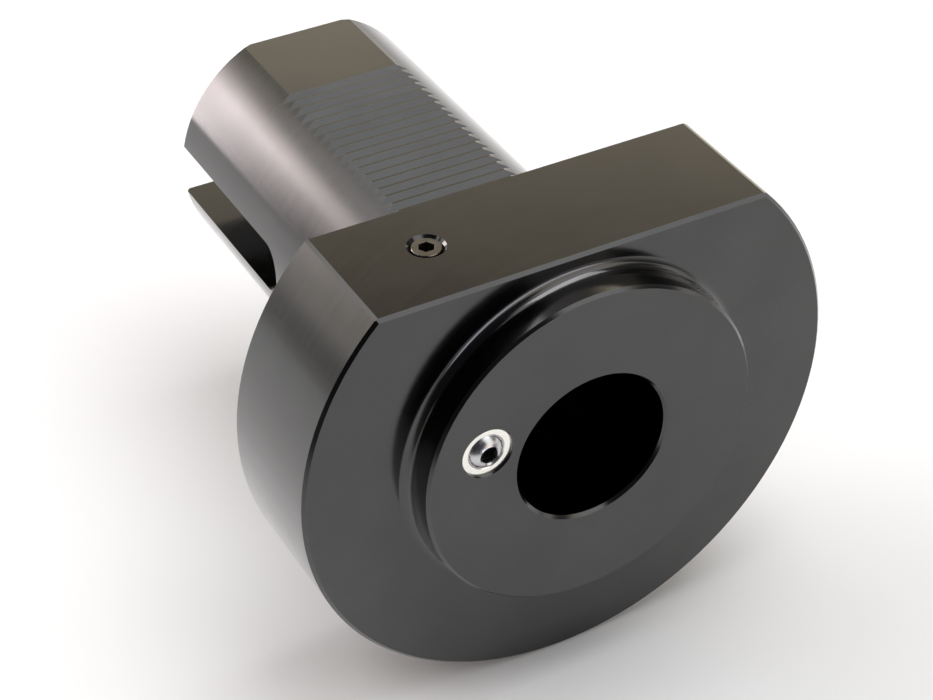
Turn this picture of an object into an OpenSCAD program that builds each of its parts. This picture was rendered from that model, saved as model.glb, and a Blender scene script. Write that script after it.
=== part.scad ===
// Morse taper adapter holder with a toothed straight shank, in millimetres.
// The origin is on the spindle axis, in the seating face at the back of the flange.
// +Y points along the shank, -Y to the tool, and +Z to the flat on the flange.

/* [Flange] */
// Diameter of the flange
flange_d = 158; // [150:1:175]
// Thickness of the flange, from its front face to the seating face
flange_t = 39; // [32:1:60]
// Height of the alignment flat above the axis
flat_h = 55; // [54:0.5:62]
// Chamfer on the front rim of the flange and on the front edge of the flat
rim_chamfer = 0.9; // [0.3:0.1:2]
// Width that the chamfer at each end of the flat takes off it
flat_chamfer = 0.6; // [0.2:0.1:1.5]

/* [Boss] */
// Diameter of the raised boss
boss_d = 98; // [94:1:100]
// Height of the boss above the front face
boss_h = 10; // [6:0.5:20]
// Radius of the fillet at the foot of the boss
boss_fillet = 3; // [1:0.5:4.5]
// Chamfer on the front edge of the boss
boss_chamfer = 0.8; // [0.3:0.1:1.5]

/* [Shank] */
// Diameter of the shank
shank_d = 80; // [78:1:82]
// Length of the shank from the seating face
shank_l = 124; // [120:1:140]
// Chamfer at the free end of the shank
shank_chamfer = 1; // [0.5:0.1:2.5]
// Height of the toothed flat above the axis
rack_h = 36; // [34:0.5:37]
// Distance from the seating face to the near end of the toothed flat
rack_start = 14; // [13:0.5:16]
// Radius at the near end of the toothed flat
rack_end_r = 3; // [1:0.5:6]
// Length of the smooth part of the flat, at the free end of the shank
rack_lead = 31.4; // [20:0.1:35]
// Spacing of the teeth
tooth_pitch = 4; // [3:0.25:4.25]
// Angle between the two sides of a tooth space, in degrees
tooth_angle = 90; // [60:1:100]
// Width of the flat top of a tooth
tooth_land = 0.7; // [0.4:0.1:1.2]
// Width of the flat bottom of a tooth space
tooth_root = 0.1; // [0.05:0.05:0.5]
// Number of tooth spaces
tooth_count = 18; // [10:1:18]

/* [Morse socket] */
// Diameter of the socket at the gauge line, which lies in the front face
socket_d = 44.399; // [44.3:0.001:44.5]
// Length over which the socket narrows by 1 mm
taper_per_mm = 19.002; // [19:0.001:20]
// Diameter of the straight bore behind the taper
socket_tail_d = 38.2; // [38:0.1:39]
// Depth of the socket from the front face
socket_depth = 138; // [135:1:145]
// Chamfer at the mouth of the socket
socket_chamfer = 0.8; // [0.3:0.1:2]
// Included angle of the drilled bottom
drill_angle = 118; // [90:1:140]

/* [Fork slot] */
// Width of the slot for the tang and the drift
fork_w = 16; // [14:0.1:18]
// Distance from the seating face to the round end of the slot
fork_start = 58; // [50:0.5:62]

/* [Coolant] */
// Distance of the nozzle and the plug from the axis, to the left
coolant_x = 31.5; // [31:0.1:33]
// Height of the nozzle above the axis
nozzle_z = 10.6; // [5:0.1:14]
// Distance of the plug screw from the front face of the flange
plug_y = 22; // [20:0.5:24]
// Height of the coolant inlet above the axis
inlet_z = 40; // [39.5:0.1:42]
// Diameter of the drillings from the inlet and to the nozzle
coolant_d = 6; // [5:0.1:6.4]
// Diameter of the cross drilling under the plug screw
cross_d = 7; // [6.8:0.1:7.2]
// How far the cross drilling runs below the nozzle's axis
cross_run = 4; // [3.5:0.1:6]

/* [Nozzle] */
// Diameter of the nozzle sleeve
sleeve_d = 14.3; // [14:0.1:15]
// Depth of the sleeve's face below the boss face
sleeve_recess = 0.8; // [0.3:0.1:1.2]
// Diameter of the opening in the sleeve's face
sleeve_mouth_d = 10.8; // [10.5:0.1:11]
// Chamfer at the mouth of the sleeve's seat in the boss
sleeve_seat_chamfer = 0.3; // [0.1:0.1:0.5]
// Diameter of the ball
ball_d = 12; // [11.9:0.05:12.1]
// Distance of the ball's centre behind the sleeve's face
ball_depth = 3.4; // [3.2:0.1:4]
// Diameter of the jet hole through the ball
jet_d = 4.9; // [3:0.1:5]
// Chamfer at the front end of the jet hole
jet_chamfer = 0.4; // [0.1:0.1:0.6]
// Thickness of the seal ring behind the ball
nozzle_seal_w = 2; // [1.8:0.1:2.2]

/* [Plug screw] */
// Outside diameter of the thread, which is drawn as a plain cylinder
plug_d = 8; // [7.6:0.1:8.2]
// Length of the threaded part
plug_l = 7; // [6:0.1:7]
// Depth of the screw's face below the flat
plug_recess = 0.3; // [0.1:0.05:0.5]
// Width across the flats of the hexagon socket
plug_hex = 4; // [3:0.1:4.5]
// Depth of the hexagon socket
plug_hex_depth = 4; // [3:0.1:5]
// Diameter of the countersink round the screw
plug_sink_d = 10.4; // [9.6:0.1:12]
// Chamfer at the inner end of the thread
plug_chamfer = 0.3; // [0.1:0.1:0.5]
// Diameter of the nose's core, under its seal ring
plug_nose_d = 3.8; // [3.6:0.05:4]
// Thickness of the collar at the tip of the nose
plug_collar = 0.7; // [0.5:0.05:0.8]

/* [Seals] */
// Thickness of the ring at the foot of the shank
shank_seal_w = 4; // [3:0.1:4.5]
// Width of its groove
shank_groove_w = 4.8; // [4.6:0.1:5.2]
// Distance from the seating face to its groove
shank_groove_y = 6; // [4:0.1:7]
// Inside diameter of the ring round the coolant inlet
inlet_seal_bore = 10; // [9:0.1:10.2]
// Thickness of that ring
inlet_seal_w = 2.5; // [2:0.1:2.6]
// How far that ring stands out of the seating face
inlet_seal_proud = 0.4; // [0.1:0.05:0.5]

/* [Fits] */
// Gap all round a pressed or threaded part
fit_gap = 0.03; // [0.01:0.01:0.05]
// Gap all round the ball, and between the ball and its seal
ball_gap = 0.05; // [0.03:0.01:0.08]
// Gap all round a ring in its groove or pocket
ring_gap = 0.05; // [0.02:0.01:0.1]
// Gap all round the collar at the tip of the plug screw
collar_gap = 0.2; // [0.1:0.05:0.3]

/* [Hidden] */

$fn = 96;
far = 400;                     // longer than anything that is cut
cut = 1;                       // how far a cutter runs past the face that it opens

flange_r = flange_d / 2;
boss_r = boss_d / 2;
shank_r = shank_d / 2;
boss_y = -flange_t - boss_h;   // front face of the boss

// Morse socket
socket_r = socket_d / 2;
tail_r = socket_tail_d / 2;
taper_l = (socket_d - socket_tail_d) * taper_per_mm;
drill_tip = tail_r / tan(drill_angle / 2);

// Toothed flat
tooth_first = shank_l - rack_lead;
flank = (tooth_pitch - tooth_land - tooth_root) / 2;
tooth_depth = flank / tan(tooth_angle / 2);

// Coolant drillings
coolant_r = coolant_d / 2;
cross_r = cross_d / 2;
cross_y = -flange_t + plug_y;

// Nozzle, along its own axis: 0 is the boss face and the jet leaves along +Z
ball_r = ball_d / 2;
ball_y = -sleeve_recess - ball_depth;
seat_r = ball_r + ball_gap;
sleeve_r = sleeve_d / 2;
nozzle_seal_r = seat_r - ring_gap - nozzle_seal_w / 2;
seal_reach = ball_r + ball_gap + nozzle_seal_w / 2;
nozzle_seal_y = ball_y - sqrt(pow(seal_reach, 2) - pow(nozzle_seal_r, 2));
nozzle_floor = nozzle_seal_y - nozzle_seal_w / 2 - ring_gap;

// Plug screw, along its own axis: 0 is the flat and the screw leaves along +Z
plug_r = plug_d / 2;
plug_seat = -plug_recess - plug_l;
plug_nose_r = plug_nose_d / 2;
plug_seal_w = cross_r - plug_nose_r - 2 * ring_gap;
plug_seal_r = plug_nose_r + ring_gap + plug_seal_w / 2;
plug_groove = plug_seal_w + 2 * ring_gap;
plug_sink_r = plug_sink_d / 2;
plug_hole_r = plug_r + fit_gap;
plug_collar_r = cross_r - collar_gap;

// Inlet in the seating face: 0 is the face and the coolant comes in along -Z
inlet_ring_r = (inlet_seal_bore + inlet_seal_w) / 2;
inlet_pocket = inlet_seal_w - inlet_seal_proud;
inlet_pocket_r = inlet_ring_r + inlet_seal_w / 2 + ring_gap;

// Ring at the foot of the shank, squeezed flush with it as in the turret's bore
shank_groove = shank_seal_w + 2 * ring_gap;
shank_ring_r = shank_r - ring_gap - shank_seal_w / 2;

blacked = [0.27, 0.26, 0.25];
bright = [0.93, 0.92, 0.86];
polished = [0.8, 0.8, 0.82];
rubber = [0.06, 0.06, 0.065];

// Turns a shape that was drawn round Z so that its +Z points along +Y, to the shank
module to_shank() rotate([-90, 0, 0]) children();

// Turns a shape that was drawn round Z so that its +Z points along -Y, to the tool
module to_tool() rotate([90, 0, 0]) children();

module at_nozzle() translate([-coolant_x, boss_y, nozzle_z]) to_tool() children();

module at_plug() translate([-coolant_x, cross_y, flat_h]) children();

module at_inlet() translate([-coolant_x, 0, inlet_z]) to_shank() children();

// A ring of round rubber cord: r is the radius of its middle line
module o_ring(r, w) rotate_extrude() translate([r, 0]) circle(d = w, $fn = 48);

// Half section of everything that is turned: x is the radius and y runs to the shank
module turned_section() {
    difference() {
        union() {
            polygon([
                [0, boss_y],
                [boss_r - boss_chamfer, boss_y],
                [boss_r, boss_y + boss_chamfer],
                [boss_r, -flange_t],
                [flange_r - rim_chamfer, -flange_t],
                [flange_r, -flange_t + rim_chamfer],
                [flange_r, 0],
                [shank_r, 0],
                [shank_r, shank_l - shank_chamfer],
                [shank_r - shank_chamfer, shank_l],
                [0, shank_l]
            ]);
            boss_foot();
        }
        translate([shank_r - shank_groove, shank_groove_y])
            square([shank_groove + cut, shank_groove_w]);
    }
}

// The fillet between the boss and the front face of the flange
module boss_foot() {
    difference() {
        translate([boss_r - cut, -flange_t - boss_fillet])
            square([boss_fillet + cut, boss_fillet + cut]);
        translate([boss_r + boss_fillet, -flange_t - boss_fillet])
            circle(r = boss_fillet);
    }
}

// What the mill takes off to make the flat on the flange, with its chamfered edges
module flat_cutter() {
    translate([-far / 2, -far / 2, flat_h]) cube([far, far, far]);
    for (side = [-1, 1]) flat_end_cutter(side);
    translate([0, -flange_t, flat_h]) flat_front_cutter();
}

// A slab that takes the corner off one end of the flat, at equal angles to both faces
module flat_end_cutter(side) {
    corner = acos(flat_h / flange_r);
    translate([side * flange_r * sin(corner), 0, flat_h])
        rotate([0, side * corner / 2, 0])
            translate([-far / 2, -far / 2, -flat_chamfer * sin(corner / 2)])
                cube([far, far, far]);
}

// A prism that chamfers the front edge of the flat, which lies at y = 0 and z = 0
module flat_front_cutter() {
    translate([-far / 2, 0, 0])
        rotate([90, 0, 90])
            linear_extrude(far)
                polygon([
                    [-cut, -rim_chamfer - cut],
                    [rim_chamfer + cut, cut],
                    [-cut, cut]
                ]);
}

module socket_cutter() {
    translate([0, boss_y, 0])
        to_shank()
            rotate_extrude()
                polygon([
                    [0, -cut],
                    [socket_r + socket_chamfer + cut, -cut],
                    [socket_r - socket_chamfer / (2 * taper_per_mm), socket_chamfer],
                    [tail_r, taper_l],
                    [tail_r, socket_depth],
                    [0, socket_depth + drill_tip]
                ]);
}

module fork_cutter() {
    slot_r = fork_w / 2;
    translate([-far / 2, fork_start + slot_r, -slot_r]) cube([far, far, fork_w]);
    translate([-far / 2, fork_start + slot_r, 0])
        rotate([0, 90, 0])
            cylinder(r = slot_r, h = far);
}

module rack_cutter() {
    translate([-far / 2, rack_start + rack_end_r, rack_h]) cube([far, far, far]);
    translate([-far / 2, rack_start + rack_end_r, rack_h + rack_end_r])
        rotate([0, 90, 0])
            cylinder(r = rack_end_r, h = far);
    translate([-far / 2, rack_start, rack_h + rack_end_r])
        cube([far, rack_end_r + cut, far]);
    for (i = [0 : tooth_count - 1])
        translate([0, tooth_first - i * tooth_pitch, rack_h])
            tooth_space();
}

// One groove of the rack: its back edge is at y = 0 and its top at z = 0
module tooth_space() {
    width = tooth_pitch - tooth_land;
    above = cut * tan(tooth_angle / 2);
    translate([-far / 2, 0, 0])
        rotate([90, 0, 90])
            linear_extrude(far)
                polygon([
                    [above, cut],
                    [-flank, -tooth_depth],
                    [-width + flank, -tooth_depth],
                    [-width - above, cut]
                ]);
}

module coolant_cutter() {
    // from the nozzle back to the cross drilling
    translate([-coolant_x, boss_y - cut, nozzle_z])
        to_shank()
            cylinder(r = coolant_r, h = cross_y - boss_y + cut);
    // down from the flat to just below the nozzle's drilling
    translate([-coolant_x, cross_y, nozzle_z - cross_run])
        cylinder(r = cross_r, h = far);
    // from the seating face forward to the cross drilling
    translate([-coolant_x, cross_y, inlet_z])
        to_shank()
            cylinder(r = coolant_r, h = far);
}

module nozzle_seat_cutter() {
    at_nozzle()
        rotate_extrude()
            polygon([
                [0, nozzle_floor],
                [sleeve_r + fit_gap, nozzle_floor],
                [sleeve_r + fit_gap, -sleeve_seat_chamfer],
                [sleeve_r + fit_gap + sleeve_seat_chamfer + cut, cut],
                [0, cut]
            ]);
}

module plug_seat_cutter() {
    at_plug()
        rotate_extrude()
            polygon([
                [0, plug_seat],
                [plug_hole_r, plug_seat],
                [plug_hole_r, plug_hole_r - plug_sink_r],
                [plug_sink_r + cut, cut],
                [0, cut]
            ]);
}

module inlet_seat_cutter() {
    at_inlet()
        translate([0, 0, -inlet_pocket])
            cylinder(r = inlet_pocket_r, h = inlet_pocket + cut);
}

module holder_body() {
    color(blacked)
        difference() {
            to_shank() rotate_extrude($fn = 180) turned_section();
            flat_cutter();
            socket_cutter();
            fork_cutter();
            rack_cutter();
            coolant_cutter();
            nozzle_seat_cutter();
            plug_seat_cutter();
            inlet_seat_cutter();
        }
}

module shank_seal_ring() {
    color(rubber)
        translate([0, shank_groove_y + shank_groove_w / 2, 0])
            to_shank()
                o_ring(shank_ring_r, shank_seal_w);
}

module inlet_seal_ring() {
    color(rubber)
        at_inlet()
            translate([0, 0, inlet_seal_proud - inlet_seal_w / 2])
                o_ring(inlet_ring_r, inlet_seal_w);
}

module nozzle_sleeve() {
    mouth_r = sleeve_mouth_d / 2;
    face = -sleeve_recess;
    color(bright)
        at_nozzle()
            difference() {
                translate([0, 0, nozzle_floor])
                    cylinder(r = sleeve_r, h = face - nozzle_floor);
                translate([0, 0, ball_y]) sphere(r = seat_r);
                translate([0, 0, nozzle_floor - cut])
                    cylinder(r = seat_r, h = ball_y - nozzle_floor + cut);
                translate([0, 0, face - ball_depth])
                    cylinder(r1 = mouth_r - ball_depth, r2 = mouth_r + cut, h = ball_depth + cut);
            }
}

module nozzle_seal_ring() {
    color(rubber)
        at_nozzle()
            translate([0, 0, nozzle_seal_y])
                o_ring(nozzle_seal_r, nozzle_seal_w);
}

module nozzle_ball() {
    jet_r = jet_d / 2;
    rim_r = jet_r + jet_chamfer;
    rim = sqrt(pow(ball_r, 2) - pow(rim_r, 2));
    color(polished)
        at_nozzle()
            translate([0, 0, ball_y])
                difference() {
                    sphere(r = ball_r);
                    translate([0, 0, -ball_d]) cylinder(r = jet_r, h = 2 * ball_d);
                    translate([0, 0, rim - jet_chamfer])
                        cylinder(r1 = jet_r, r2 = rim_r + cut, h = jet_chamfer + cut);
                }
}

module plug_seal_ring() {
    color(rubber)
        at_plug()
            translate([0, 0, plug_seat - plug_groove / 2])
                o_ring(plug_seal_r, plug_seal_w);
}

module plug_screw() {
    top = -plug_recess;
    tip = plug_seat - plug_groove - plug_collar;
    color(blacked)
        at_plug()
            difference() {
                rotate_extrude()
                    polygon([
                        [0, tip],
                        [plug_collar_r, tip],
                        [plug_collar_r, tip + plug_collar],
                        [plug_nose_r, tip + plug_collar],
                        [plug_nose_r, plug_seat],
                        [plug_r - plug_chamfer, plug_seat],
                        [plug_r, plug_seat + plug_chamfer],
                        [plug_r, top - plug_chamfer / 2],
                        [plug_r - plug_chamfer / 2, top],
                        [0, top]
                    ]);
                translate([0, 0, top - plug_hex_depth])
                    cylinder(d = plug_hex / cos(30), h = plug_hex_depth + cut, $fn = 6);
            }
}

holder_body();
shank_seal_ring();
inlet_seal_ring();
nozzle_sleeve();
nozzle_seal_ring();
nozzle_ball();
plug_seal_ring();
plug_screw();
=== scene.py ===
# %% [markdown]
# Looks for a morse taper adapter holder: a heavy blacked-steel flange with a raised boss, a
# toothed straight shank behind it, a small bright coolant nozzle in the boss and a plug screw in
# the flat on top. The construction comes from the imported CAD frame. This script adds the
# finishes, a plain studio and the camera, and it changes no shape of the CAD.

# %% Load the frame
import math
import bpy
from mathutils import Matrix, Vector

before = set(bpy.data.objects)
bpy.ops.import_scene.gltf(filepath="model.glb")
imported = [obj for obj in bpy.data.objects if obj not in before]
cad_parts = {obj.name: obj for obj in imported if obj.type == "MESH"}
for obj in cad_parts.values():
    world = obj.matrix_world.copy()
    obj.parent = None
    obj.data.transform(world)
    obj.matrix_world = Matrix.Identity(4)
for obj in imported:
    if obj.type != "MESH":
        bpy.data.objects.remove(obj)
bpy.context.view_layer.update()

MM = 0.001

# %% [markdown]
# The photograph was taken from above and to the left of the tool's side. A camera is a place, a
# direction and a lens. A "look at" rule would leave its roll open, so the direction is given here
# as a matrix: where the camera's right, its up and its back point in the part's frame.

# %% Camera
CAMERA_PLACE = Vector((-266.1, -457.9, 406.3)) * MM
CAMERA_FORWARD = Vector((0.38640, 0.69202, -0.60975))
CAMERA_RIGHT = Vector((0.87372, -0.48642, 0.00162))
SENSOR = 36.0
LENS = 94.0
NEAREST = 0.01
FARTHEST = 50.0


def add_camera():
    """A camera with the photograph's place, direction and angle of view."""
    data = bpy.data.cameras.new("camera")
    data.sensor_width = SENSOR
    data.lens = LENS
    data.clip_start = NEAREST
    data.clip_end = FARTHEST
    camera = bpy.data.objects.new("camera", data)
    back = -CAMERA_FORWARD.normalized()
    right = CAMERA_RIGHT - CAMERA_RIGHT.dot(back) * back
    right.normalize()
    up = back.cross(right)
    turn = Matrix((right, up, back)).transposed()
    camera.matrix_world = Matrix.Translation(CAMERA_PLACE) @ turn.to_4x4()
    bpy.context.scene.collection.objects.link(camera)
    bpy.context.scene.camera = camera


add_camera()
print("camera", round(CAMERA_PLACE.length / MM), "mm from the origin, lens", LENS, "mm")

# %% [markdown]
# A finish is a node tree. Laying out every node by hand makes a script long, so a few helpers
# keep each step on one line. These first ones make a node and set its sockets, do a sum, make a
# soft step between two values, and mix two colours or numbers.

# %% Nodes and sums
def add_node(tree, kind, values=None, **settings):
    """A node of that kind, with its settings and the plain values of its input sockets."""
    node = tree.nodes.new(kind)
    for name, value in settings.items():
        setattr(node, name, value)
    for name, value in (values or {}).items():
        node.inputs[name].default_value = value
    return node


def feed(tree, source, socket):
    """Give a socket a link where source is another socket, or else a plain value."""
    if isinstance(source, bpy.types.NodeSocket):
        tree.links.new(source, socket)
    else:
        socket.default_value = source


def sum_of(tree, operation, first, second=None, clamp=False):
    """One Math node: its result for two sources, each a socket or a number."""
    node = add_node(tree, "ShaderNodeMath", operation=operation, use_clamp=clamp)
    feed(tree, first, node.inputs[0])
    if second is not None:
        feed(tree, second, node.inputs[1])
    return node.outputs[0]


def weighed(tree, first, first_share, second, second_share):
    """The sum of two measures, each times its own share."""
    one = sum_of(tree, "MULTIPLY", first, first_share)
    other = sum_of(tree, "MULTIPLY", second, second_share)
    return sum_of(tree, "ADD", one, other)


def steps(tree, source, low, high, to_low=0.0, to_high=1.0):
    """A smooth step: to_low below low, to_high above high, and a soft ramp between them."""
    node = add_node(tree, "ShaderNodeMapRange", interpolation_type="SMOOTHSTEP")
    feed(tree, source, node.inputs["Value"])
    ends = {"From Min": low, "From Max": high, "To Min": to_low, "To Max": to_high}
    for name, value in ends.items():
        feed(tree, value, node.inputs[name])
    return node.outputs["Result"]


def blend(tree, factor, first, second, kind="RGBA"):
    """A Mix node for two colours, or for two numbers where kind is FLOAT."""
    node = add_node(tree, "ShaderNodeMix", data_type=kind)
    socket_type = "VALUE" if kind == "FLOAT" else kind
    ends = {socket.name: socket for socket in node.inputs if socket.type == socket_type}
    feed(tree, factor, node.inputs[0])
    feed(tree, first, ends["A"])
    feed(tree, second, ends["B"])
    return [socket for socket in node.outputs if socket.type == socket_type][0]


print("helpers for nodes and sums ready")

# %% [markdown]
# Tool marks, clouds and wear depend on where a point lies on the piece. The Object output of a
# Texture Coordinate node gives that place, and it moves with the piece, so a mark stays where it
# was cut. Noise at that place gives clouds, and noise along one measure gives parallel lines.

# %% Place and noise
def place_on_object(tree):
    """The point's own x, y and z in metres, and the whole vector, in the part's frame."""
    coordinate = add_node(tree, "ShaderNodeTexCoord")
    split = add_node(tree, "ShaderNodeSeparateXYZ")
    tree.links.new(coordinate.outputs["Object"], split.inputs[0])
    return split.outputs["X"], split.outputs["Y"], split.outputs["Z"], coordinate.outputs["Object"]


def distance_from(tree, first, second):
    """The length of a right triangle's long side."""
    squares = [sum_of(tree, "MULTIPLY", part, part) for part in (first, second)]
    return sum_of(tree, "SQRT", sum_of(tree, "ADD", *squares))


def noise(tree, vector, scale, detail=3.0, roughness=0.5):
    """Clouds from 0 to 1: a larger scale makes smaller clouds."""
    node = add_node(tree, "ShaderNodeTexNoise", {"Detail": detail, "Roughness": roughness})
    tree.links.new(vector, node.inputs["Vector"])
    feed(tree, scale, node.inputs["Scale"])
    return node.outputs["Fac"]


def line_noise(tree, along, scale, detail=2.0):
    """Noise that changes only along one measure, which draws fine parallel lines."""
    node = add_node(tree, "ShaderNodeTexNoise", {"Detail": detail}, noise_dimensions="1D")
    feed(tree, along, node.inputs["W"])
    feed(tree, scale, node.inputs["Scale"])
    return node.outputs["Fac"]


print("helpers for place and noise ready")

# %% [markdown]
# Several finishes here share an effect, such as lathe marks or rubbed edges. A node group holds
# an effect once, and each material places it with its own values. The shader stays outside the
# groups, in the material itself.

# %% Groups and materials
def new_group(name, inputs, outputs):
    """A shader node group with named number sockets: inputs is name to default value."""
    tree = bpy.data.node_groups.new(name, "ShaderNodeTree")
    for title, value in inputs.items():
        socket = tree.interface.new_socket(title, in_out="INPUT", socket_type="NodeSocketFloat")
        socket.default_value = value
    for title in outputs:
        tree.interface.new_socket(title, in_out="OUTPUT", socket_type="NodeSocketFloat")
    return tree, tree.nodes.new("NodeGroupInput").outputs, tree.nodes.new("NodeGroupOutput").inputs


def use_group(tree, group, values=None):
    """The group placed in a material, with that material's own values."""
    node = add_node(tree, "ShaderNodeGroup", node_tree=group)
    for name, value in (values or {}).items():
        feed(tree, value, node.inputs[name])
    return node.outputs


def new_material(name, **values):
    """A material and its Principled shader, with plain values for the shader's sockets."""
    material = bpy.data.materials.new(name)
    material.use_nodes = True
    shader = material.node_tree.nodes["Principled BSDF"]
    for socket, value in values.items():
        shader.inputs[socket.replace("_", " ")].default_value = value
    return material, shader


print("helpers for groups and materials ready")

# %% [markdown]
# A lathe tool leaves one fine groove for each turn of the work. On the end faces these grooves
# are rings, and on the cylinders they run round the axis. Both are lines of equal "radius plus
# length", so one sum draws them everywhere on a turned piece, round any axis that runs along Y.
# The height is a ripple at every turn plus the tool's chatter. The streaks are wider bands, which
# the finishes use to change how dull the metal is.

# %% Lathe marks
def cut_marks(tree, turns, result, ripple, chatter_scale, streak_scale, streak_detail):
    """Fill a group's Height and Streak from a count of the cutter's turns."""
    groove = sum_of(tree, "SINE", sum_of(tree, "MULTIPLY", turns, math.tau))
    wave = sum_of(tree, "MULTIPLY", groove, ripple)
    chatter = line_noise(tree, turns, chatter_scale)
    feed(tree, sum_of(tree, "ADD", wave, chatter), result["Height"])
    feed(tree, line_noise(tree, turns, streak_scale, streak_detail), result["Streak"])


def make_lathe_marks():
    """Rings and turns round an axis along Y, one for each Feed of length."""
    tree, given, result = new_group(
        "lathe_marks",
        {"Axis X": 0.0, "Axis Z": 0.0, "Feed": 0.2 * MM},
        ("Height", "Streak"),
    )
    x, y, z, _ = place_on_object(tree)
    across = sum_of(tree, "SUBTRACT", x, given["Axis X"])
    above = sum_of(tree, "SUBTRACT", z, given["Axis Z"])
    along = sum_of(tree, "ADD", distance_from(tree, across, above), y)
    turns = sum_of(tree, "DIVIDE", along, given["Feed"])
    cut_marks(
        tree, turns, result,
        ripple=0.25, chatter_scale=0.9, streak_scale=0.11, streak_detail=4.0,
    )
    return tree


LATHE_MARKS = make_lathe_marks()
print("group", LATHE_MARKS.name)

# %% [markdown]
# A face mill sweeps over a flat in wide arcs. Each arc is the cutter's own circle, pushed along
# by the feed, so the marks are lines of equal "length plus the circle's height at this width".

# %% Mill marks
def make_mill_marks():
    """Arcs of a cutter that moves along Y, one for each Feed of length."""
    tree, given, result = new_group(
        "mill_marks",
        {"Cutter Radius": 100.0 * MM, "Feed": 0.6 * MM},
        ("Height", "Streak"),
    )
    x, y, _, _ = place_on_object(tree)
    square = sum_of(tree, "MULTIPLY", given["Cutter Radius"], given["Cutter Radius"])
    rest = sum_of(tree, "SUBTRACT", square, sum_of(tree, "MULTIPLY", x, x))
    arc = sum_of(tree, "SQRT", sum_of(tree, "MAXIMUM", rest, 0.0))
    turns = sum_of(tree, "DIVIDE", sum_of(tree, "SUBTRACT", y, arc), given["Feed"])
    cut_marks(
        tree, turns, result,
        ripple=0.3, chatter_scale=0.8, streak_scale=0.2, streak_detail=3.0,
    )
    return tree


MILL_MARKS = make_mill_marks()
print("group", MILL_MARKS.name)

# %% [markdown]
# Blacking is a thin crust that grows out of the steel. It is never quite even: clouds a few
# centimetres wide are darker or lighter, and under them lies a grain finer than a millimetre.
# A film of oil sits on top of it and makes some patches duller. The group gives all three.

# %% Oxide crust
CLOUD_SHARE = 0.75
GRAIN_SHARE = 0.25
FILM_PER_CLOUD = 2.7


def make_oxide():
    """Tone for the colour, Film for the roughness and Grain for the bump."""
    tree, given, result = new_group(
        "oxide_crust",
        {"Cloud Scale": 35.0, "Grain Scale": 2600.0},
        ("Tone", "Film", "Grain"),
    )
    _, _, _, spot = place_on_object(tree)
    cloud = noise(tree, spot, given["Cloud Scale"], detail=5.0, roughness=0.6)
    grain = noise(tree, spot, given["Grain Scale"], detail=2.0)
    film_scale = sum_of(tree, "MULTIPLY", given["Cloud Scale"], FILM_PER_CLOUD)
    film = noise(tree, spot, film_scale, detail=6.0, roughness=0.65)
    mixed = weighed(tree, cloud, CLOUD_SHARE, grain, GRAIN_SHARE)
    feed(tree, steps(tree, mixed, 0.35, 0.65), result["Tone"])
    feed(tree, steps(tree, film, 0.42, 0.66), result["Film"])
    feed(tree, grain, result["Grain"])
    return tree


OXIDE_CRUST = make_oxide()
print("group", OXIDE_CRUST.name)

# %% [markdown]
# Handling rubs the crust off sharp edges first. A Bevel node finds them: it gives the normal
# that a rounded edge would have, and where that differs from the true one the point lies near
# an edge. Noise breaks the line up, as real wear does.

# %% Edge wear
PATCH_SCALE = 420.0
PATCH_LEAST = 0.25
SLIGHT_TURN = 0.01
SHARP_TURN = 0.16


def make_edge_wear():
    """Mask is up to Amount near sharp edges, within Width of them, and 0 elsewhere."""
    tree, given, result = new_group(
        "edge_wear",
        {"Width": 0.3 * MM, "Amount": 0.5},
        ("Mask",),
    )
    rounded = add_node(tree, "ShaderNodeBevel", samples=4)
    feed(tree, given["Width"], rounded.inputs["Radius"])
    geometry = add_node(tree, "ShaderNodeNewGeometry")
    dot = add_node(tree, "ShaderNodeVectorMath", operation="DOT_PRODUCT")
    tree.links.new(rounded.outputs["Normal"], dot.inputs[0])
    tree.links.new(geometry.outputs["Normal"], dot.inputs[1])
    turned = sum_of(tree, "SUBTRACT", 1.0, dot.outputs["Value"])
    near_edge = steps(tree, turned, SLIGHT_TURN, SHARP_TURN)
    _, _, _, spot = place_on_object(tree)
    patches = noise(tree, spot, PATCH_SCALE, detail=4.0, roughness=0.65)
    patches = steps(tree, patches, 0.35, 0.7, PATCH_LEAST, 1.0)
    rubbed = sum_of(tree, "MULTIPLY", near_edge, patches)
    feed(tree, sum_of(tree, "MULTIPLY", rubbed, given["Amount"], clamp=True), result["Mask"])
    return tree


EDGE_WEAR = make_edge_wear()
print("group", EDGE_WEAR.name)

# %% [markdown]
# Every finish on this part ends in the same way: a colour, a roughness and a fine bump go into
# the shader. A metal's colour lies between a dark and a pale one by its tone, and where the edge
# is rubbed it is the bare metal's. Colours could be painted on instead, but nodes keep the marks
# sharp however near the camera comes.

# %% Laying a finish
def worn_colour(tree, tone, dark, pale, mask, worn):
    """Between dark and pale by tone, and the worn colour where mask is 1."""
    return blend(tree, mask, blend(tree, tone, dark, pale), worn)


def lay_finish(tree, shader, colour, rough, height, depth):
    """Feed the shader its colour, its roughness and a bump that is depth metres high."""
    feed(tree, colour, shader.inputs["Base Color"])
    feed(tree, rough, shader.inputs["Roughness"])
    bump = add_node(tree, "ShaderNodeBump", {"Distance": depth})
    feed(tree, height, bump.inputs["Height"])
    tree.links.new(bump.outputs["Normal"], shader.inputs["Normal"])


print("helpers for a finish ready")

# %% [markdown]
# The flat on the flange, the toothed flat on the shank and the walls of the fork slot were
# milled, and all the rest was turned. The material tells them apart by where they lie: at the
# height of the flange's flat, or inside the shank's skin and outside its bore.

# %% Where the steel was milled
FLANGE_FLAT = 54.9 * MM
SHANK_SKIN = 39.9 * MM
BORE_SKIN = 22.6 * MM
BEHIND_SEAT = 1.0 * MM


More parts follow.
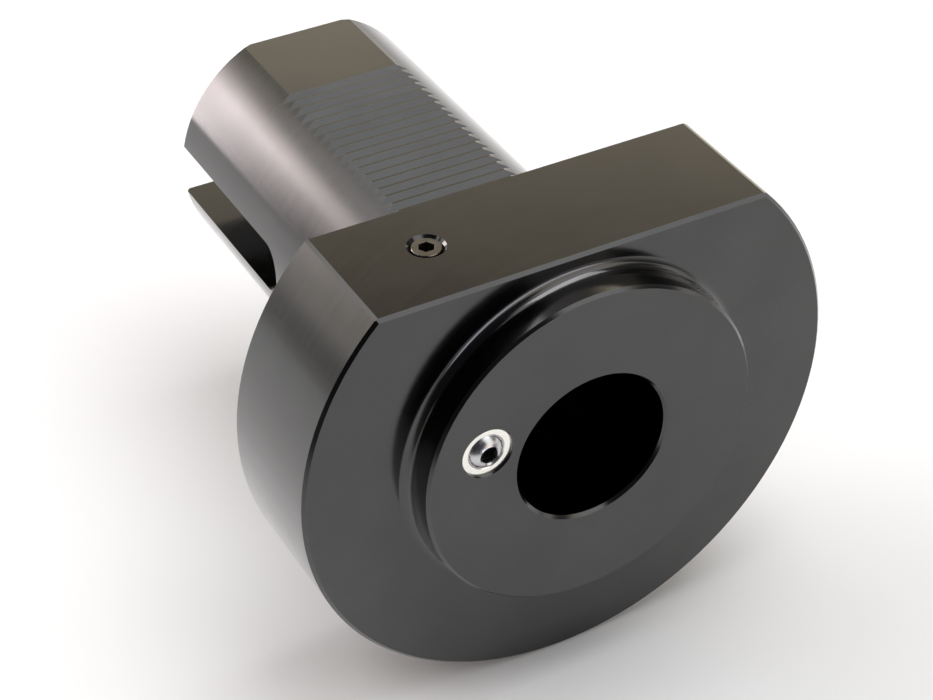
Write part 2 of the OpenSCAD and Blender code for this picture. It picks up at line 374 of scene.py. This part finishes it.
def milled_zone(tree):
    """1 on the milled flats and in the fork slot, 0 on everything that was turned."""
    x, y, z, _ = place_on_object(tree)
    radius = distance_from(tree, x, z)
    on_flange_flat = sum_of(tree, "GREATER_THAN", z, FLANGE_FLAT)
    behind_seat = sum_of(tree, "GREATER_THAN", y, BEHIND_SEAT)
    inside_shank = sum_of(tree, "LESS_THAN", radius, SHANK_SKIN)
    outside_bore = sum_of(tree, "GREATER_THAN", radius, BORE_SKIN)
    on_shank = sum_of(tree, "MULTIPLY", inside_shank, outside_bore)
    on_shank = sum_of(tree, "MULTIPLY", on_shank, behind_seat)
    return sum_of(tree, "MAXIMUM", on_flange_flat, on_shank)


print("milled above", FLANGE_FLAT / MM, "mm and within", SHANK_SKIN / MM, "mm of the axis")

# %% [markdown]
# The holder is hardened, turned and ground steel that was blacked afterwards. The crust is a
# thin dark mirror, so the shader is a metal with a very dark base colour: nothing but the
# surroundings shows in it, and it brightens where it is seen at a low angle, as the real one
# does. The film of oil is the shader's coat.

# %% Blacked steel
BLACKED = (0.0555, 0.0555, 0.0555, 1.0)
BLACKED_PALE = (0.068, 0.068, 0.068, 1.0)
WORN_STEEL = (0.30, 0.295, 0.285, 1.0)
OIL_FILM = 0.5
OIL_ROUGHNESS = 0.12
OIL_IOR = 1.5
OXIDE_TONE = 0.7
STREAK_TONE = 0.3
SMOOTH_STREAK = 0.13
DULL_STREAK = 0.165
FILM_DULLNESS = 0.03
GRAIN_HEIGHT = 0.5


def blacked_steel():
    """The holder's body: blacked over lathe and mill marks, and rubbed at its edges."""
    material, shader = new_material(
        "blacked_steel",
        Metallic=1.0, Coat_Weight=OIL_FILM, Coat_Roughness=OIL_ROUGHNESS, Coat_IOR=OIL_IOR,
    )
    tree = material.node_tree
    lathe = use_group(tree, LATHE_MARKS, {"Feed": 0.18 * MM})
    mill = use_group(tree, MILL_MARKS, {"Cutter Radius": 90.0 * MM, "Feed": 0.5 * MM})
    oxide = use_group(tree, OXIDE_CRUST)
    wear = use_group(tree, EDGE_WEAR, {"Width": 0.25 * MM, "Amount": 0.35})
    milled = milled_zone(tree)
    height = blend(tree, milled, lathe["Height"], mill["Height"], "FLOAT")
    height = sum_of(tree, "ADD", height, sum_of(tree, "MULTIPLY", oxide["Grain"], GRAIN_HEIGHT))
    streak = blend(tree, milled, lathe["Streak"], mill["Streak"], "FLOAT")
    tone = weighed(tree, oxide["Tone"], OXIDE_TONE, streak, STREAK_TONE)
    rough = steps(tree, streak, 0.3, 0.7, SMOOTH_STREAK, DULL_STREAK)
    oily = sum_of(tree, "MULTIPLY", oxide["Film"], FILM_DULLNESS)
    rough = sum_of(tree, "ADD", rough, oily)
    colour = worn_colour(tree, tone, BLACKED, BLACKED_PALE, wear["Mask"], WORN_STEEL)
    lay_finish(tree, shader, colour, rough, height, depth=0.0006 * MM)
    return material


BLACKED_STEEL = blacked_steel()
print("finish", BLACKED_STEEL.name)

# %% [markdown]
# The plug screw is a bought part. Its blacking is thinner and browner than the holder's, with a
# finer cloud and grain, and a key has rubbed its edges much more. The same groups serve, with
# smaller scales and a larger amount of wear.

# %% Blacked screw
SCREW_DARK = (0.15, 0.135, 0.12, 1.0)
SCREW_PALE = (0.2, 0.185, 0.165, 1.0)
SCREW_WORN = (0.5, 0.49, 0.47, 1.0)


def blacked_screw():
    """The plug screw: fine brown-black blacking with bright rubbed edges."""
    material, shader = new_material("blacked_screw", Metallic=1.0)
    tree = material.node_tree
    oxide = use_group(tree, OXIDE_CRUST, {"Cloud Scale": 240.0, "Grain Scale": 5200.0})
    wear = use_group(tree, EDGE_WEAR, {"Width": 0.2 * MM, "Amount": 0.8})
    rough = steps(tree, oxide["Film"], 0.0, 1.0, 0.2, 0.3)
    colour = worn_colour(tree, oxide["Tone"], SCREW_DARK, SCREW_PALE, wear["Mask"], SCREW_WORN)
    lay_finish(tree, shader, colour, rough, oxide["Grain"], depth=0.002 * MM)
    return material


BLACKED_SCREW = blacked_screw()
print("finish", BLACKED_SCREW.name)

# %% [markdown]
# The coolant nozzle has two bright metals. Its sleeve is turned and nickel plated, a little
# yellow, and its ball is plain steel with a satin polish: it mirrors the room, but softly. Both
# were turned round the nozzle's own axis, so their lathe marks are rings round that, not round
# the holder's axis.

# %% Nozzle metals
BALL_MIDDLE = Vector((-31.5, -44.8, 10.6)) * MM
NOZZLE_AXIS = {"Axis X": BALL_MIDDLE.x, "Axis Z": BALL_MIDDLE.z}
NICKEL = (0.97, 0.955, 0.89, 1.0)
NICKEL_PALE = (1.0, 0.985, 0.93, 1.0)
NICKEL_WORN = (0.98, 0.95, 0.86, 1.0)
BALL_STEEL = (0.52, 0.52, 0.54, 1.0)
BALL_STEEL_PALE = (0.62, 0.62, 0.64, 1.0)
BALL_STEEL_WORN = (0.85, 0.85, 0.86, 1.0)


def bright_nickel():
    """The nozzle sleeve: turned, and bright nickel over it."""
    material, shader = new_material("bright_nickel", Metallic=1.0)
    tree = material.node_tree
    lathe = use_group(tree, LATHE_MARKS, {**NOZZLE_AXIS, "Feed": 0.12 * MM})
    oxide = use_group(tree, OXIDE_CRUST, {"Cloud Scale": 300.0, "Grain Scale": 6000.0})
    wear = use_group(tree, EDGE_WEAR, {"Width": 0.1 * MM, "Amount": 0.2})
    rough = steps(tree, lathe["Streak"], 0.3, 0.7, 0.2, 0.28)
    colour = worn_colour(tree, oxide["Tone"], NICKEL, NICKEL_PALE, wear["Mask"], NICKEL_WORN)
    lay_finish(tree, shader, colour, rough, lathe["Height"], depth=0.0015 * MM)
    return material


def polished_steel():
    """The nozzle ball: satin steel with the faint rings of its turning."""
    material, shader = new_material("polished_steel", Metallic=1.0)
    tree = material.node_tree
    lathe = use_group(tree, LATHE_MARKS, {**NOZZLE_AXIS, "Feed": 0.09 * MM})
    oxide = use_group(tree, OXIDE_CRUST, {"Cloud Scale": 400.0, "Grain Scale": 7000.0})
    wear = use_group(tree, EDGE_WEAR, {"Width": 0.12 * MM, "Amount": 0.6})
    rough = steps(tree, oxide["Film"], 0.0, 1.0, 0.22, 0.30)
    colour = worn_colour(
        tree, oxide["Tone"], BALL_STEEL, BALL_STEEL_PALE, wear["Mask"], BALL_STEEL_WORN,
    )
    lay_finish(tree, shader, colour, rough, lathe["Height"], depth=0.001 * MM)
    return material


BRIGHT_NICKEL = bright_nickel()
POLISHED_STEEL = polished_steel()
print("finishes", BRIGHT_NICKEL.name, "and", POLISHED_STEEL.name)

# %% [markdown]
# The seal rings are black rubber. Rubber isn't a metal: it has a dark colour of its own and a
# dull skin with a faint grey bloom, and it has no edges to rub bright. The crust's clouds and
# grain give that skin too.

# %% Seal rubber
RUBBER_DARK = (0.012, 0.012, 0.013, 1.0)
RUBBER_BLOOM = (0.03, 0.03, 0.032, 1.0)


def seal_rubber():
    """Matt black rubber with a soft bloom and the moulded skin's grain."""
    material, shader = new_material("seal_rubber", Metallic=0.0)
    tree = material.node_tree
    skin = use_group(tree, OXIDE_CRUST, {"Cloud Scale": 180.0, "Grain Scale": 4200.0})
    rough = steps(tree, skin["Film"], 0.0, 1.0, 0.45, 0.62)
    colour = blend(tree, skin["Tone"], RUBBER_DARK, RUBBER_BLOOM)
    lay_finish(tree, shader, colour, rough, skin["Grain"], depth=0.01 * MM)
    return material


SEAL_RUBBER = seal_rubber()
print("finish", SEAL_RUBBER.name)

# %% [markdown]
# Each CAD node keeps its own shape here, because the solids already have the forms that the
# photograph shows. It only gets its finish, by name, in its object's material slot.

# %% Dress the nodes
FINISH = {
    "holder_body": BLACKED_STEEL,
    "plug_screw": BLACKED_SCREW,
    "nozzle_sleeve": BRIGHT_NICKEL,
    "nozzle_ball": POLISHED_STEEL,
    "shank_seal_ring": SEAL_RUBBER,
    "inlet_seal_ring": SEAL_RUBBER,
    "nozzle_seal_ring": SEAL_RUBBER,
    "plug_seal_ring": SEAL_RUBBER,
}
for name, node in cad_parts.items():
    node.data.materials.clear()
    node.data.materials.append(FINISH[name])
    print(name, "wears", FINISH[name].name)

# %% [markdown]
# A mirror shows the smallest fault of a mesh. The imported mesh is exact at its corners, but its
# shading normals are averages of the flat facets, and next to an edge such an average leans. On
# a cylinder, on the ball and in the hollow round the boss's foot the true normal is known from
# the shape itself. Geometry Nodes can work it out and write it in, and no corner of the mesh
# moves. A finer mesh would help too, but it is the CAD's and stays as it is.

# %% Helpers for true normals
NOTHING = (0.0, 0.0, 0.0)


def vector_sum(tree, operation, first, second=NOTHING, output="Vector"):
    """One Vector Math node: its result for one or two sources."""
    node = add_node(tree, "ShaderNodeVectorMath", operation=operation)
    feed(tree, first, node.inputs[0])
    feed(tree, second, node.inputs["Scale" if operation == "SCALE" else 1])
    return node.outputs[output]


def vector_of(tree, x, y, z):
    """A vector from three numbers."""
    node = add_node(tree, "ShaderNodeCombineXYZ")
    for part, socket in zip((x, y, z), node.inputs):
        feed(tree, part, socket)
    return node.outputs[0]


def read_on(tree, domain, source, kind="FLOAT"):
    """A measure taken on faces or corners, whatever it is used on later."""
    node = add_node(tree, "GeometryNodeFieldOnDomain", data_type=kind, domain=domain)
    feed(tree, source, node.inputs[0])
    return node.outputs[0]


def face_mean(tree, source, kind="FLOAT"):
    """The mean of a measure over the corners of each face."""
    return read_on(tree, "FACE", read_on(tree, "CORNER", source, kind), kind)


def pick(tree, condition, otherwise, value):
    """The vector value where condition is true, and the other one where it isn't."""
    node = add_node(tree, "GeometryNodeSwitch", input_type="VECTOR")
    feed(tree, condition, node.inputs["Switch"])
    feed(tree, otherwise, node.inputs["False"])
    feed(tree, value, node.inputs["True"])
    return node.outputs[0]


def between(tree, source, low, high):
    """1 where the source lies between low and high, or else 0."""
    above = sum_of(tree, "GREATER_THAN", source, low)
    below = sum_of(tree, "LESS_THAN", source, high)
    return sum_of(tree, "MULTIPLY", above, below)


def across_axis(tree, axis_x, axis_z):
    """Each corner against an axis along Y: the way out, the distance, y and its place."""
    place = add_node(tree, "GeometryNodeInputPosition").outputs[0]
    split = add_node(tree, "ShaderNodeSeparateXYZ")
    tree.links.new(place, split.inputs[0])
    x = sum_of(tree, "SUBTRACT", split.outputs["X"], axis_x)
    z = sum_of(tree, "SUBTRACT", split.outputs["Z"], axis_z)
    outward = vector_sum(tree, "NORMALIZE", vector_of(tree, x, 0.0, z))
    return outward, distance_from(tree, x, z), split.outputs["Y"], place


print("helpers for true normals ready")

# %% [markdown]
# Three kinds of face have a normal that can be worked out. A cylinder's points away from its
# axis, or towards it in a bore. The ball's points away from its middle. The hollow at the boss's
# foot is a quarter round, and its normal points towards the middle of that round. Each function
# gives a mask for its own faces and the normals on them.

# %% Cylinders, hollow and ball
HAIR = 0.002 * MM
SQUARE_ON = 0.999
FOOT_ROUND = 3.0 * MM
FOOT_MIDDLE_RADIUS = 52.0 * MM
FOOT_MIDDLE_Y = -42.0 * MM
BALL_RADIUS = 6.0 * MM


def cylinder_skin(tree, facet, axis_x, axis_z):
    """A mask for the cylinders round an axis, and their normals: facet is the flat normal."""
    outward, radius, _, _ = across_axis(tree, axis_x, axis_z)
    face_outward = vector_sum(tree, "NORMALIZE", face_mean(tree, outward, "FLOAT_VECTOR"))
    lean = vector_sum(tree, "DOT_PRODUCT", facet, face_outward, "Value")
    square_on = sum_of(tree, "GREATER_THAN", sum_of(tree, "ABSOLUTE", lean), SQUARE_ON)
    apart = sum_of(tree, "ABSOLUTE", sum_of(tree, "SUBTRACT", radius, face_mean(tree, radius)))
    even = sum_of(tree, "LESS_THAN", face_mean(tree, apart), HAIR)
    normal = vector_sum(tree, "SCALE", outward, sum_of(tree, "SIGN", lean))
    return sum_of(tree, "MULTIPLY", square_on, even), normal


def foot_hollow(tree):
    """A mask for the hollow at the boss's foot, and its normals."""
    outward, radius, y, place = across_axis(tree, 0.0, 0.0)
    middle = vector_sum(tree, "SCALE", outward, FOOT_MIDDLE_RADIUS)
    middle = vector_sum(tree, "ADD", middle, (0.0, FOOT_MIDDLE_Y, 0.0))
    normal = vector_sum(tree, "NORMALIZE", vector_sum(tree, "SUBTRACT", middle, place))
    y_ends = (FOOT_MIDDLE_Y + HAIR, FOOT_MIDDLE_Y + FOOT_ROUND - HAIR)
    radius_ends = (FOOT_MIDDLE_RADIUS - FOOT_ROUND + HAIR, FOOT_MIDDLE_RADIUS - HAIR)
    high = between(tree, face_mean(tree, y), *y_ends)
    wide = between(tree, face_mean(tree, radius), *radius_ends)
    return sum_of(tree, "MULTIPLY", high, wide), normal


def ball_skin(tree):
    """A mask for the round of the ball, and its normals."""
    place = add_node(tree, "GeometryNodeInputPosition").outputs[0]
    out = vector_sum(tree, "SUBTRACT", place, tuple(BALL_MIDDLE))
    away = face_mean(tree, vector_sum(tree, "LENGTH", out, output="Value"))
    mask = between(tree, away, BALL_RADIUS - HAIR, BALL_RADIUS + HAIR)
    return mask, vector_sum(tree, "NORMALIZE", out)


print("ball of", BALL_RADIUS / MM, "mm radius, hollow of", FOOT_ROUND / MM, "mm radius")

# %% [markdown]
# The modifier starts from the normals that the mesh has and replaces them where a mask is 1. On
# the holder these are the cylinders and the hollow, on the ball its bore and its round, and on the
# sleeve the cylinders alone.

# %% True normals on the turned faces
def add_true_normals(piece, axis_x, axis_z, round_part=None):
    """A modifier that writes a piece's exact normals, round an axis along Y."""
    tree = bpy.data.node_groups.new("true_normals_" + piece.name, "GeometryNodeTree")
    for way in ("INPUT", "OUTPUT"):
        tree.interface.new_socket("Mesh", in_out=way, socket_type="NodeSocketGeometry")
    mesh_in = tree.nodes.new("NodeGroupInput").outputs[0]
    mesh_out = tree.nodes.new("NodeGroupOutput").inputs[0]
    normals = add_node(tree, "GeometryNodeInputNormal")
    facet = read_on(tree, "FACE", normals.outputs["True Normal"], "FLOAT_VECTOR")
    mask, exact = cylinder_skin(tree, facet, axis_x, axis_z)
    normal = pick(tree, mask, normals.outputs["Normal"], exact)
    if round_part:
        mask, exact = round_part(tree)
        normal = pick(tree, mask, normal, exact)
    write = add_node(tree, "GeometryNodeSetMeshNormal", mode="FREE", domain="CORNER")
    feed(tree, mesh_in, write.inputs["Mesh"])
    feed(tree, normal, write.inputs["Custom Normal"])
    feed(tree, write.outputs["Mesh"], mesh_out)
    modifier = piece.modifiers.new("true_normals", "NODES")
    modifier.node_group = tree
    print("true normals on", piece.name)


add_true_normals(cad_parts["holder_body"], 0.0, 0.0, foot_hollow)
add_true_normals(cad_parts["nozzle_ball"], BALL_MIDDLE.x, BALL_MIDDLE.z, ball_skin)
add_true_normals(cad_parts["nozzle_sleeve"], BALL_MIDDLE.x, BALL_MIDDLE.z)

# %% [markdown]
# The object stands on a white table. The floor is one large flat square at the height of the
# flange's lowest point, so the object casts a real shadow and sees a real table in its mirror.
# In the photograph the metal mirrors a dark floor to the left of the object and in front of it.
# That is a painted dark reflection: only mirror rays see the floor darken there, so the floor
# itself stays plain from every side.

# %% Floor
FLOOR_Z = -79.0 * MM
FLOOR_HALF = 3.0
TABLE = (0.885, 0.885, 0.89, 1.0)
TABLE_PALE = (0.915, 0.915, 0.92, 1.0)
TABLE_GLOSS = 0.2
# The painted dark that mirror rays see on the floor, left of and in front of the object.
PAINTED_REFLECTION_DARK = (0.10, 0.10, 0.095, 1.0)
REFLECTED_DARK_LEFT = (0.12, 0.40)
REFLECTED_DARK_LEFT_FORWARD = (0.0, 0.15)
REFLECTED_DARK_FRONT = (0.26, 0.60)
REFLECTED_DARK_FRONT_SHARE = 0.6


def painted_dark_reflection(tree):
    """Mask of the painted dark reflection: up to 1 left of and in front of the object, 0 elsewhere,
    for mirror rays only.
    """
    x, y, _, _ = place_on_object(tree)
    to_left = sum_of(tree, "MULTIPLY", x, -1.0)
    to_front = sum_of(tree, "MULTIPLY", y, -1.0)
    left_part = steps(tree, to_left, *REFLECTED_DARK_LEFT)
    forward_part = steps(tree, to_front, *REFLECTED_DARK_LEFT_FORWARD)
    at_left = sum_of(tree, "MULTIPLY", left_part, forward_part)
    in_front = steps(tree, to_front, *REFLECTED_DARK_FRONT, 0.0, REFLECTED_DARK_FRONT_SHARE)
    painted_dark = sum_of(tree, "MAXIMUM", at_left, in_front)
    ray = add_node(tree, "ShaderNodeLightPath")
    return sum_of(tree, "MULTIPLY", painted_dark, ray.outputs["Is Glossy Ray"])


def table_paint():
    """A matt white table with faint clouds, and a painted dark reflection that mirror rays alone
    see.
    """
    material, shader = new_material("table_paint", Metallic=0.0, Specular_IOR_Level=TABLE_GLOSS)
    tree = material.node_tree
    _, _, _, spot = place_on_object(tree)
    cloud = noise(tree, spot, 4.0, detail=4.0)
    white = blend(tree, cloud, TABLE, TABLE_PALE)
    # Mirror rays see the painted dark reflection here; every other ray sees the plain white table.
    feed(tree, blend(tree, painted_dark_reflection(tree), white, PAINTED_REFLECTION_DARK), shader.inputs["Base Color"])
    fine = noise(tree, spot, 60.0)
    feed(tree, steps(tree, fine, 0.3, 0.7, 0.75, 0.85), shader.inputs["Roughness"])
    return material


def add_floor():
    """One square, centred under the object."""
    mesh = bpy.data.meshes.new("floor")
    corners = [(-1, -1), (1, -1), (1, 1), (-1, 1)]
    places = [(x * FLOOR_HALF, y * FLOOR_HALF, FLOOR_Z) for x, y in corners]
    mesh.from_pydata(places, [], [(0, 1, 2, 3)])
    floor = bpy.data.objects.new("floor", mesh)
    bpy.context.scene.collection.objects.link(floor)
    floor.data.materials.append(table_paint())


add_floor()
print("floor at", FLOOR_Z / MM, "mm")

# %% [markdown]
# Dark polished metal shows its surroundings more than its own colour, so the studio is built
# as the metal sees it. One soft box stands close behind the shank on the left: because it is
# close, the far end of the shank sees it whole and the flange sees only its edge. A real soft
# box isn't even: it is brightest opposite its bulb and fades to its edges, and the long soft
# highlight on the shank shows that. The lamp's own nodes draw this fall-off across its cloth,
# with one ramp from side to side and one from bottom to top.

# %% Uneven soft box
ACROSS_CLOTH = (
    (0.00, 1.00), (0.47, 1.00), (0.523, 0.92), (0.565, 0.71),
    (0.607, 0.50), (0.70, 0.14), (0.85, 0.00),
)
UP_CLOTH = (
    (0.00, 0.95), (0.09, 0.90), (0.26, 0.82), (0.44, 0.83),
    (0.62, 1.00), (0.81, 0.50), (0.90, 0.20), (1.00, 0.00),
)
PEAK_HEIGHT = 0.62
LOW_CORNER_FROM = 0.50
LOW_CORNER_FULL = 0.64
LOW_CORNER_CUT = 0.12


def colour_ramp(tree, along, stops):
    """A ramp of colours: stops are (place from 0 to 1, colour)."""
    ramp = add_node(tree, "ShaderNodeValToRGB")
    tree.links.new(along, ramp.inputs["Fac"])
    elements = ramp.color_ramp.elements
    while len(elements) < len(stops):
        elements.new(1.0)
    for element, (place, colour) in zip(elements, stops):
        element.position = place
        element.color = (*colour, 1.0)
    return ramp.outputs["Color"]


def fade_line(tree, along, stops):
    """A grey ramp: stops are (place from 0 to 1, brightness)."""
    return colour_ramp(tree, along, [(place, (bright,) * 3) for place, bright in stops])


def fade_cloth(data):
    """Make an area lamp's cloth uneven: two ramps, and its far lower corner stays dim."""
    data.use_nodes = True
    tree = data.node_tree
    cloth = add_node(tree, "ShaderNodeNewGeometry").outputs["Parametric"]
    split = add_node(tree, "ShaderNodeSeparateXYZ")
    tree.links.new(cloth, split.inputs[0])
    side, rise = split.outputs["X"], split.outputs["Y"]
    below_peak = sum_of(tree, "SUBTRACT", PEAK_HEIGHT, rise)
    far_half = steps(tree, side, LOW_CORNER_FROM, LOW_CORNER_FULL, 0.0, LOW_CORNER_CUT)
    cut = sum_of(tree, "MULTIPLY", sum_of(tree, "MAXIMUM", below_peak, 0.0), far_half)
    across = fade_line(tree, sum_of(tree, "ADD", side, cut), ACROSS_CLOTH)
    upward = fade_line(tree, rise, UP_CLOTH)
    feed(tree, sum_of(tree, "MULTIPLY", across, upward), tree.nodes["Emission"].inputs["Strength"])


def add_panel(name, place, aim, width, height, watts, colour=(1.0, 1.0, 1.0), spread=180.0):
    """A soft box: a rectangular lamp at place that faces aim, with its light within spread."""
    data = bpy.data.lights.new(name, "AREA")
    data.shape = "RECTANGLE"
    data.size = width
    data.size_y = height
    data.energy = watts
    data.color = colour
    data.spread = math.radians(spread)
    lamp = bpy.data.objects.new(name, data)
    lamp.location = Vector(place)
    lamp.rotation_mode = "QUATERNION"
    lamp.rotation_quaternion = (Vector(aim) - Vector(place)).to_track_quat("-Z", "Y")
    bpy.context.scene.collection.objects.link(lamp)
    print(name, "at", place, round(watts / (math.pi * width * height), 2), "times white")
    return lamp


uneven_box = add_panel(
    "box_behind_left", place=(-0.50, 0.76, 0.235), aim=(-0.03, 0.1, 0.235),
    width=0.52, height=0.57, watts=2.1, colour=(1.0, 0.885, 0.895), spread=90.0,
)
fade_cloth(uneven_box.data)

# %% [markdown]
# Two more boxes light the table. The large one overhead hangs a little to the right of the
# object, so the shadow falls to the left, and its right edge is high enough to stay out of most
# of the hollow at the boss's foot. The other hangs high at the left, over the floor beside the
# shank.

# %% Boxes for the table
add_panel(
    "box_overhead", place=(0.42, -0.13, 1.5), aim=(0, 0, 0),
    width=0.9, height=1.2, watts=11.0,
)
add_panel(
    "box_high_left", place=(-0.8, 0.5, 1.1), aim=(-0.5, 0.5, -0.08),
    width=0.7, height=0.7, watts=1.6, spread=90.0,
)

# %% [markdown]
# The rest of the studio is the world. A pale warm wall stands all round and ends about 33 degrees
# up, and a dim ceiling lies above it. On these lie soft spots, each given by its direction and its
# size: brighter and darker parts of the walls, a lamp overhead, a window high up in front, and
# dark corners round the camera. A low bright bar in front draws the light line in the hollow above
# the boss. A picture of a room could do the same, but a few spots are enough for a metal this dark.

# %% World
def direction(azimuth, elevation):
    """A direction from two angles in degrees: azimuth 0 is along +Y and 90 is along +X."""
    turn, lift = math.radians(azimuth), math.radians(elevation)
    return (math.sin(turn) * math.cos(lift), math.cos(turn) * math.cos(lift), math.sin(lift))


def sky_spot(tree, looking, azimuth, elevation, inner, outer):
    """1 within inner degrees of the direction, 0 beyond outer degrees, soft between."""
    dot = add_node(tree, "ShaderNodeVectorMath", operation="DOT_PRODUCT")
    tree.links.new(looking, dot.inputs[0])
    dot.inputs[1].default_value = direction(azimuth, elevation)
    cosines = [math.cos(math.radians(angle)) for angle in (outer, inner)]
    return steps(tree, dot.outputs["Value"], *cosines)


def sky_bar(tree, looking, azimuth, elevation, reach, half_height):
    """A level bar of light: reach degrees to either side, half_height degrees up and down."""
    split = add_node(tree, "ShaderNodeSeparateXYZ")
    tree.links.new(looking, split.inputs[0])
    level = math.sin(math.radians(elevation))
    apart = sum_of(tree, "ABSOLUTE", sum_of(tree, "SUBTRACT", split.outputs["Z"], level))
    full, gone = [math.sin(math.radians(half_height * share)) for share in (0.5, 1.5)]
    thin = steps(tree, apart, full, gone, 1.0, 0.0)
    wide = sky_spot(tree, looking, azimuth, elevation, reach * 0.8, reach * 1.2)
    return sum_of(tree, "MULTIPLY", thin, wide)


WALL_AND_CEILING = (
    (0.00, (0.78, 0.76, 0.74)),
    (0.16, (1.25, 1.18, 1.10)),
    (0.38, (1.45, 1.33, 1.20)),
    (0.49, (1.45, 1.28, 1.00)),
    (0.55, (0.86, 0.76, 0.58)),
    (0.61, (0.25, 0.22, 0.17)),
    (0.75, (0.36, 0.36, 0.38)),
    (1.00, (0.66, 0.68, 0.74)),
)
SKY_SPOTS = (
    ("left wall", (-38, 40, 8, 19), (1.75, 1.68, 1.68)),
    ("left wall's top", (-15, 46, 5, 11), (1.9, 1.86, 1.82)),
    ("left wall's foot", (-50, -2, 5, 13), (0.55, 0.52, 0.51)),
    ("front window", (146, 50, 16, 26), (1.50, 1.51, 1.51)),
    ("dark beside the window", (114, 24, 7, 16), (0.15, 0.15, 0.15)),
    ("dark under the window", (133, 4, 8, 15), (0.16, 0.16, 0.16)),
    ("dark at the right", (95, 47, 14, 22), (0.12, 0.12, 0.11)),
    ("dark right wall", (79, 25, 14, 25), (0.12, 0.12, 0.11)),
    ("ceiling lamp", (20, 85, 14, 28), (1.2, 1.2, 1.22)),
    ("camera's left corner", (-135, 30, 31, 43), (0.04, 0.04, 0.045)),
    ("camera's left foot", (-125, 2, 26, 38), (0.04, 0.04, 0.045)),
    ("far left corner", (-98, 40, 28, 38), (0.04, 0.04, 0.045)),
    ("right wall's foot", (54, 6, 6, 18), (1.82, 1.68, 1.38)),
    ("behind the camera", (-167, 36, 15, 22), (0.06, 0.06, 0.07)),
)
FRONT_BAR = (173, 3, 23, 6)
FRONT_BAR_LIGHT = (3.5, 3.45, 3.95)


def add_world():
    """A wall and a ceiling by height, with the spots and the bar laid over them in order."""
    world = bpy.data.worlds.new("studio")
    bpy.context.scene.world = world
    world.use_nodes = True
    tree = world.node_tree
    looking = add_node(tree, "ShaderNodeTexCoord").outputs["Generated"]
    split = add_node(tree, "ShaderNodeSeparateXYZ")
    tree.links.new(looking, split.inputs[0])
    sky = colour_ramp(tree, split.outputs["Z"], WALL_AND_CEILING)
    for _, place, colour in SKY_SPOTS:
        sky = blend(tree, sky_spot(tree, looking, *place), sky, (*colour, 1.0))
    sky = blend(tree, sky_bar(tree, looking, *FRONT_BAR), sky, (*FRONT_BAR_LIGHT, 1.0))
    feed(tree, sky, tree.nodes["Background"].inputs["Color"])


add_world()
print("world with", len(SKY_SPOTS), "soft spots and a bar")

# %% [markdown]
# The Standard view shows colours as they are written, with nothing added to the contrast.

# %% Finish
bpy.context.scene.view_settings.view_transform = "Standard"
